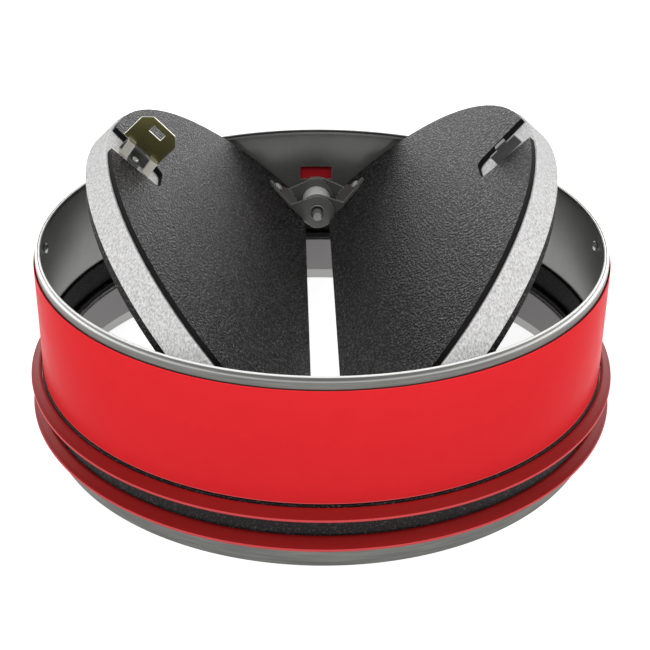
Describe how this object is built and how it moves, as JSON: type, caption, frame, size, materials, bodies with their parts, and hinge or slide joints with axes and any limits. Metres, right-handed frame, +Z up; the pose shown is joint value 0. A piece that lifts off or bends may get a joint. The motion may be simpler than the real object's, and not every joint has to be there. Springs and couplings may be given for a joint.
{
  "type": "round butterfly fire damper cartridge",
  "caption": "Round duct fire damper cartridge with a red wrap, rubber lip seals and a pair of hinged half-disc blades that fold together and are held by a brass fusible link.",
  "frame": {"origin": "centre of the casing's bottom rim", "axes": "+Z up along the duct axis, towards the folded blades; +Y towards the rear hinge; the blades turn about the Y direction"},
  "size_m": [0.2048, 0.2048, 0.1088],
  "materials": {
    "galvanised": "galvanised sheet",
    "red_wrap": "glossy film",
    "red_rubber": "satin",
    "graphite": "grainy matte",
    "leather_skin": "leather grain",
    "board": "rough plaster",
    "zinc": "zinc plated",
    "dark_steel": "dull plated",
    "brass": "dull",
    "spring_steel": "drawn wire"
  },
  "bodies": {
    "casing": {"casing": "galvanised", "wrap_sleeve": "red_wrap", "outer_intumescent_strip": "graphite", "upper_lip_seal": "red_rubber", "lower_lip_seal": "red_rubber", "inner_intumescent_band": "graphite", "stop_ring": "galvanised", "blade_seal": "graphite", "hinge_pin_front": "zinc", "hinge_pin_rear": "zinc", "hinge_bush_front": "zinc", "hinge_bush_rear": "zinc", "side_rivet_left": "zinc", "side_rivet_right": "zinc"},
    "blade_left": {"blade_core_left": "board", "upper_skin_left": "leather_skin", "lower_skin_left": "leather_skin", "hinge_bracket_front_left": "zinc", "bracket_rivet_front_left": "zinc", "hinge_bracket_rear_left": "zinc", "bracket_rivet_rear_left": "zinc", "catch_plate_left": "dark_steel", "catch_rivet_left": "zinc", "closing_spring_left": "spring_steel", "fusible_link_front": "brass", "fusible_link_back": "brass"},
    "blade_right": {"blade_core_right": "board", "upper_skin_right": "leather_skin", "lower_skin_right": "leather_skin", "hinge_bracket_front_right": "zinc", "bracket_rivet_front_right": "zinc", "hinge_bracket_rear_right": "zinc", "bracket_rivet_rear_right": "zinc", "catch_plate_right": "dark_steel", "catch_rivet_right": "zinc", "closing_spring_right": "spring_steel"}
  },
  "joints": [
    {"name": "left_blade_hinge", "type": "hinge", "parent": "casing", "child": "blade_left", "pos_m": [0, 0, 0.0409], "axis": [0, 1, 0], "range_deg": [-45.9, 44]},
    {"name": "right_blade_hinge", "type": "hinge", "parent": "casing", "child": "blade_right", "pos_m": [0, 0, 0.0409], "axis": [0, -1, 0], "range_deg": [-47.13, 42.77]}
  ]
}
